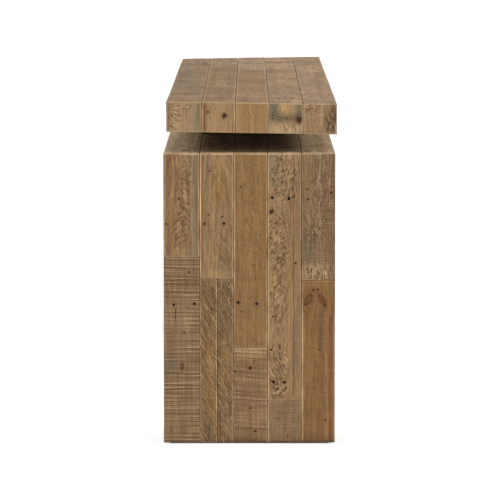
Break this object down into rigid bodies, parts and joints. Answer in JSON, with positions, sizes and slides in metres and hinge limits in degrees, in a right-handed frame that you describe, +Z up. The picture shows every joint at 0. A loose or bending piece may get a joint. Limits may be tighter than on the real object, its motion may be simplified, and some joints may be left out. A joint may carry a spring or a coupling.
{
  "type": "console table",
  "caption": "Long console table in reclaimed pine: mitred board-clad legs and deck, with a thick slab floating above the deck on a recessed plinth.",
  "frame": {"origin": "on the floor, under the middle of the table", "axes": "+X along the table towards its right-hand end, +Y from front to back, +Z up"},
  "size_m": [2, 0.403, 0.8],
  "materials": {
    "top_pine": "reclaimed pine, sawn face left showing, thin matt wax with a grey-pink cast",
    "end_block_pine": "reclaimed pine blocks with upright face grain, sanded lightly, matt wax",
    "deck_pine": "reclaimed pine, sawn face left showing, matt wax, a little darker than the top",
    "stave_pine": "reclaimed pine staves in mixed tones, saw marks, knots and old nail holes, matt wax",
    "side_pine": "reclaimed pine edge boards, saw marks, matt wax",
    "panel_pine": "reclaimed pine panel, planed and waxed",
    "core_pine": "plain new softwood, unfinished, inside the boxes",
    "dark_pine": "pine stained almost black, matt",
    "zinc_steel": "zinc-plated steel, dull",
    "felt_strip": "dense brown felt"
  },
  "bodies": {
    "root": {"deck_back_board": "side_pine", "deck_board_1": "deck_pine", "deck_board_2": "deck_pine", "deck_board_3": "deck_pine", "deck_board_4": "deck_pine", "deck_board_5": "deck_pine", "deck_bottom_panel": "panel_pine", "deck_core_frame": "core_pine", "deck_front_board": "side_pine", "left_leg_back_edge": "side_pine", "left_leg_core_frame": "core_pine", "left_leg_foot_strip": "felt_strip", "left_leg_front_edge": "side_pine", "left_leg_inner_panel": "panel_pine", "left_leg_stave_1": "stave_pine", "left_leg_stave_2": "stave_pine", "left_leg_stave_3": "stave_pine", "left_leg_stave_4": "stave_pine", "left_leg_stave_5": "stave_pine", "plinth_bolt_left": "zinc_steel", "plinth_bolt_right": "zinc_steel", "right_leg_back_edge": "side_pine", "right_leg_core_frame": "core_pine", "right_leg_foot_strip": "felt_strip", "right_leg_front_edge": "side_pine", "right_leg_inner_panel": "panel_pine", "right_leg_stave_1_lower": "stave_pine", "right_leg_stave_1_upper": "stave_pine", "right_leg_stave_2_lower_back": "stave_pine", "right_leg_stave_2_lower_front": "stave_pine", "right_leg_stave_2_upper": "stave_pine", "right_leg_stave_3_lower": "stave_pine", "right_leg_stave_3_upper": "stave_pine", "right_leg_stave_4_lower": "stave_pine", "right_leg_stave_4_upper": "stave_pine", "right_leg_stave_5_lower": "stave_pine", "right_leg_stave_5_upper": "stave_pine", "slab_back_board": "side_pine", "slab_board_1": "top_pine", "slab_board_2_left": "top_pine", "slab_board_2_right": "top_pine", "slab_board_3_left": "top_pine", "slab_board_3_right": "top_pine", "slab_board_4_left": "top_pine", "slab_board_4_right": "top_pine", "slab_board_5": "top_pine", "slab_bottom_panel": "panel_pine", "slab_core_frame": "core_pine", "slab_front_board": "side_pine", "slab_left_block_1": "end_block_pine", "slab_left_block_2": "end_block_pine", "slab_left_block_3": "end_block_pine", "slab_left_block_4": "end_block_pine", "slab_left_block_5": "end_block_pine", "slab_right_block_1": "end_block_pine", "slab_right_block_2": "end_block_pine", "slab_right_block_3": "end_block_pine", "slab_right_block_4": "end_block_pine", "slab_right_block_5": "end_block_pine", "spacer_plinth": "dark_pine"}
  },
  "joints": []
}
